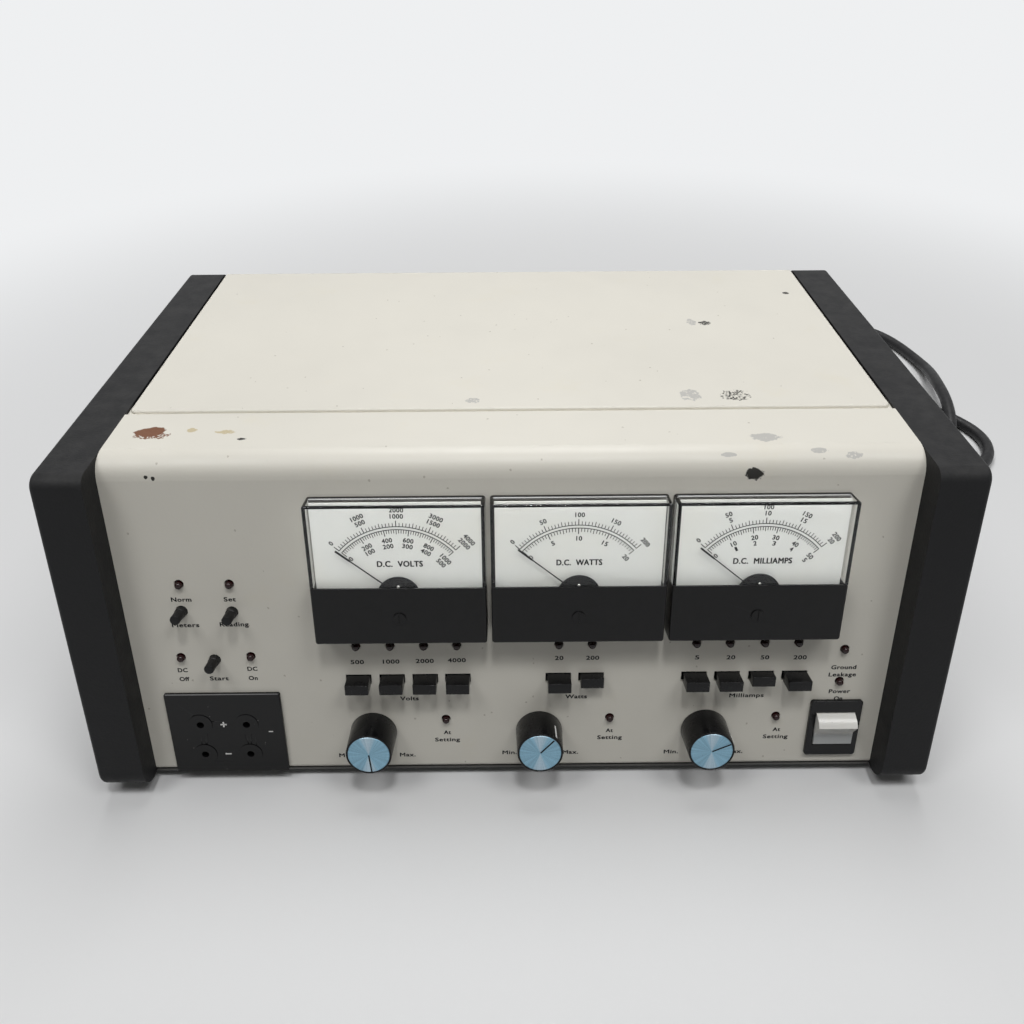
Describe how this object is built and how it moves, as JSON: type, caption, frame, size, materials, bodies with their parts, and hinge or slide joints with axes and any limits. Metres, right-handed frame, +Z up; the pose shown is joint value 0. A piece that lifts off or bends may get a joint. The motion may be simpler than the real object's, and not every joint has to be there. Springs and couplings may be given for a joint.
{
  "type": "electrophoresis power supply",
  "caption": "Bench power supply for gel electrophoresis: leaning metal front with analogue meters, range buttons, turning knobs, output sockets and a mains lead.",
  "frame": {"origin": "on the bench, below the middle of the case, measured without the mains lead", "axes": "+X to the right as seen from the front, +Y towards the back, +Z up"},
  "size_m": [0.665, 0.6115, 0.1875],
  "materials": {
    "off_white_paint": "satin enamel on steel sheet",
    "plated_steel": "zinc-plated steel sheet",
    "black_moulding": "fine-textured black moulding",
    "black_rubber": "black rubber",
    "screw_steel": "plated screws",
    "black_gloss": "glossy black plastic",
    "black_matte": "matte black plastic",
    "white_plastic": "white plastic rocker",
    "spun_aluminium": "spun aluminium",
    "shaft_steel": "turned steel",
    "clear_window": "clear moulded window",
    "dial_white": "white dial plate with printed scales",
    "needle_black": "black painted aluminium",
    "movement_steel": "magnet steel",
    "lamp_red": "dark red lens, unlit",
    "board_green": "circuit board with its parts",
    "core_iron": "varnished laminations"
  },
  "bodies": {
    "case": {"bottom_pan": "plated_steel", "case_screws": "screw_steel", "circuit_board": "board_green", "cord_coil": "black_rubber", "cord_gland": "black_matte", "feet": "black_rubber", "front_panel": "off_white_paint", "fuse_holder": "black_matte", "high_voltage_transformer": "black_gloss", "indicator_leds": "lamp_red", "mains_cord": "black_rubber", "mains_plug": "black_rubber", "mains_transformer": "core_iron", "meter_dials": "dial_white", "meter_movements": "movement_steel", "milliamps_meter_case": "black_gloss", "milliamps_meter_window": "clear_window", "output_jack_plate": "black_gloss", "output_jacks": "black_gloss", "potentiometers": "shaft_steel", "power_switch_frame": "black_gloss", "push_switches": "black_matte", "range_switch_banks": "black_matte", "rear_panel": "plated_steel", "side_panel_left": "black_moulding", "side_panel_right": "black_moulding", "top_cover": "off_white_paint", "volts_meter_case": "black_gloss", "volts_meter_window": "clear_window", "watts_meter_case": "black_gloss", "watts_meter_window": "clear_window"},
    "volts_control": {"volts_knob": "black_matte", "volts_knob_cap": "spun_aluminium", "volts_control_shaft": "shaft_steel"},
    "watts_control": {"watts_knob": "black_matte", "watts_knob_cap": "spun_aluminium", "watts_control_shaft": "shaft_steel"},
    "milliamps_control": {"milliamps_knob": "black_matte", "milliamps_knob_cap": "spun_aluminium", "milliamps_control_shaft": "shaft_steel"},
    "power_rocker": {"power_rocker": "white_plastic"},
    "volts_500_button": {"volts_500_button": "black_matte"},
    "volts_1000_button": {"volts_1000_button": "black_matte"},
    "volts_2000_button": {"volts_2000_button": "black_matte"},
    "volts_4000_button": {"volts_4000_button": "black_matte"},
    "watts_20_button": {"watts_20_button": "black_matte"},
    "watts_200_button": {"watts_200_button": "black_matte"},
    "milliamps_5_button": {"milliamps_5_button": "black_matte"},
    "milliamps_20_button": {"milliamps_20_button": "black_matte"},
    "milliamps_50_button": {"milliamps_50_button": "black_matte"},
    "milliamps_200_button": {"milliamps_200_button": "black_matte"},
    "meters_push_button": {"meters_push_button": "black_matte"},
    "reading_push_button": {"reading_push_button": "black_matte"},
    "start_push_button": {"start_push_button": "black_matte"},
    "volts_needle": {"volts_meter_needle": "needle_black"},
    "volts_zero_screw": {"volts_zero_screw": "black_matte"},
    "watts_needle": {"watts_meter_needle": "needle_black"},
    "watts_zero_screw": {"watts_zero_screw": "black_matte"},
    "milliamps_needle": {"milliamps_meter_needle": "needle_black"},
    "milliamps_zero_screw": {"milliamps_zero_screw": "black_matte"}
  },
  "joints": [
    {"name": "volts_control_turn", "type": "hinge", "parent": "case", "child": "volts_control", "pos_m": [-0.0777, -0.13034, 0.03282], "axis": [0, 0.9659, -0.2588], "range_deg": [0, 300]},
    {"name": "watts_control_turn", "type": "hinge", "parent": "case", "child": "watts_control", "pos_m": [0.0143, -0.13034, 0.03282], "axis": [0, 0.9659, -0.2588], "range_deg": [-227, 73]},
    {"name": "milliamps_control_turn", "type": "hinge", "parent": "case", "child": "milliamps_control", "pos_m": [0.1063, -0.13034, 0.03282], "axis": [0, 0.9659, -0.2588], "range_deg": [-250, 50]},
    {"name": "power_rocker_tilt", "type": "hinge", "parent": "case", "child": "power_rocker", "pos_m": [0.1784, -0.12905, 0.03279], "axis": [-1, 0, 0], "range_deg": [0, 40]},
    {"name": "volts_500_press", "type": "slide", "parent": "case", "child": "volts_500_button", "axis": [0, -0.9659, 0.2588], "range_m": [-0.0045, 0]},
    {"name": "volts_1000_press", "type": "slide", "parent": "case", "child": "volts_1000_button", "axis": [0, -0.9659, 0.2588], "range_m": [-0.0045, 0]},
    {"name": "volts_2000_press", "type": "slide", "parent": "case", "child": "volts_2000_button", "axis": [0, -0.9659, 0.2588], "range_m": [-0.0045, 0]},
    {"name": "volts_4000_press", "type": "slide", "parent": "case", "child": "volts_4000_button", "axis": [0, -0.9659, 0.2588], "range_m": [-0.0045, 0]},
    {"name": "watts_20_press", "type": "slide", "parent": "case", "child": "watts_20_button", "axis": [0, -0.9659, 0.2588], "range_m": [-0.0045, 0]},
    {"name": "watts_200_press", "type": "slide", "parent": "case", "child": "watts_200_button", "axis": [0, -0.9659, 0.2588], "range_m": [0, 0.0045]},
    {"name": "milliamps_5_press", "type": "slide", "parent": "case", "child": "milliamps_5_button", "axis": [0, -0.9659, 0.2588], "range_m": [-0.0045, 0]},
    {"name": "milliamps_20_press", "type": "slide", "parent": "case", "child": "milliamps_20_button", "axis": [0, -0.9659, 0.2588], "range_m": [-0.0045, 0]},
    {"name": "milliamps_50_press", "type": "slide", "parent": "case", "child": "milliamps_50_button", "axis": [0, -0.9659, 0.2588], "range_m": [0, 0.0045]},
    {"name": "milliamps_200_press", "type": "slide", "parent": "case", "child": "milliamps_200_button", "axis": [0, -0.9659, 0.2588], "range_m": [-0.0045, 0]},
    {"name": "meters_push", "type": "slide", "parent": "case", "child": "meters_push_button", "axis": [0, -0.9659, 0.2588], "range_m": [-0.0018, 0], "stiffness_N_per_m": 300},
    {"name": "reading_push", "type": "slide", "parent": "case", "child": "reading_push_button", "axis": [0, -0.9659, 0.2588], "range_m": [-0.0018, 0], "stiffness_N_per_m": 300},
    {"name": "start_push", "type": "slide", "parent": "case", "child": "start_push_button", "axis": [0, -0.9659, 0.2588], "range_m": [-0.0018, 0], "stiffness_N_per_m": 300},
    {"name": "volts_needle_swing", "type": "hinge", "parent": "case", "child": "volts_needle", "pos_m": [-0.05745, -0.10712, 0.11947], "axis": [0, 0.9659, -0.2588], "range_deg": [0, 99], "stiffness_Nm_per_rad": 0.001},
    {"name": "volts_zero_turn", "type": "hinge", "parent": "case", "child": "volts_zero_screw", "pos_m": [-0.05745, -0.12207, 0.11198], "axis": [0, 0.9659, -0.2588], "range_deg": [-45, 45]},
    {"name": "watts_needle_swing", "type": "hinge", "parent": "case", "child": "watts_needle", "pos_m": [0.0336, -0.10712, 0.11947], "axis": [0, 0.9659, -0.2588], "range_deg": [0, 99], "stiffness_Nm_per_rad": 0.001},
    {"name": "watts_zero_turn", "type": "hinge", "parent": "case", "child": "watts_zero_screw", "pos_m": [0.0336, -0.12207, 0.11198], "axis": [0, 0.9659, -0.2588], "range_deg": [-45, 45]},
    {"name": "milliamps_needle_swing", "type": "hinge", "parent": "case", "child": "milliamps_needle", "pos_m": [0.12465, -0.10712, 0.11947], "axis": [0, 0.9659, -0.2588], "range_deg": [0, 99], "stiffness_Nm_per_rad": 0.001},
    {"name": "milliamps_zero_turn", "type": "hinge", "parent": "case", "child": "milliamps_zero_screw", "pos_m": [0.12465, -0.12207, 0.11198], "axis": [0, 0.9659, -0.2588], "range_deg": [-45, 45]}
  ]
}
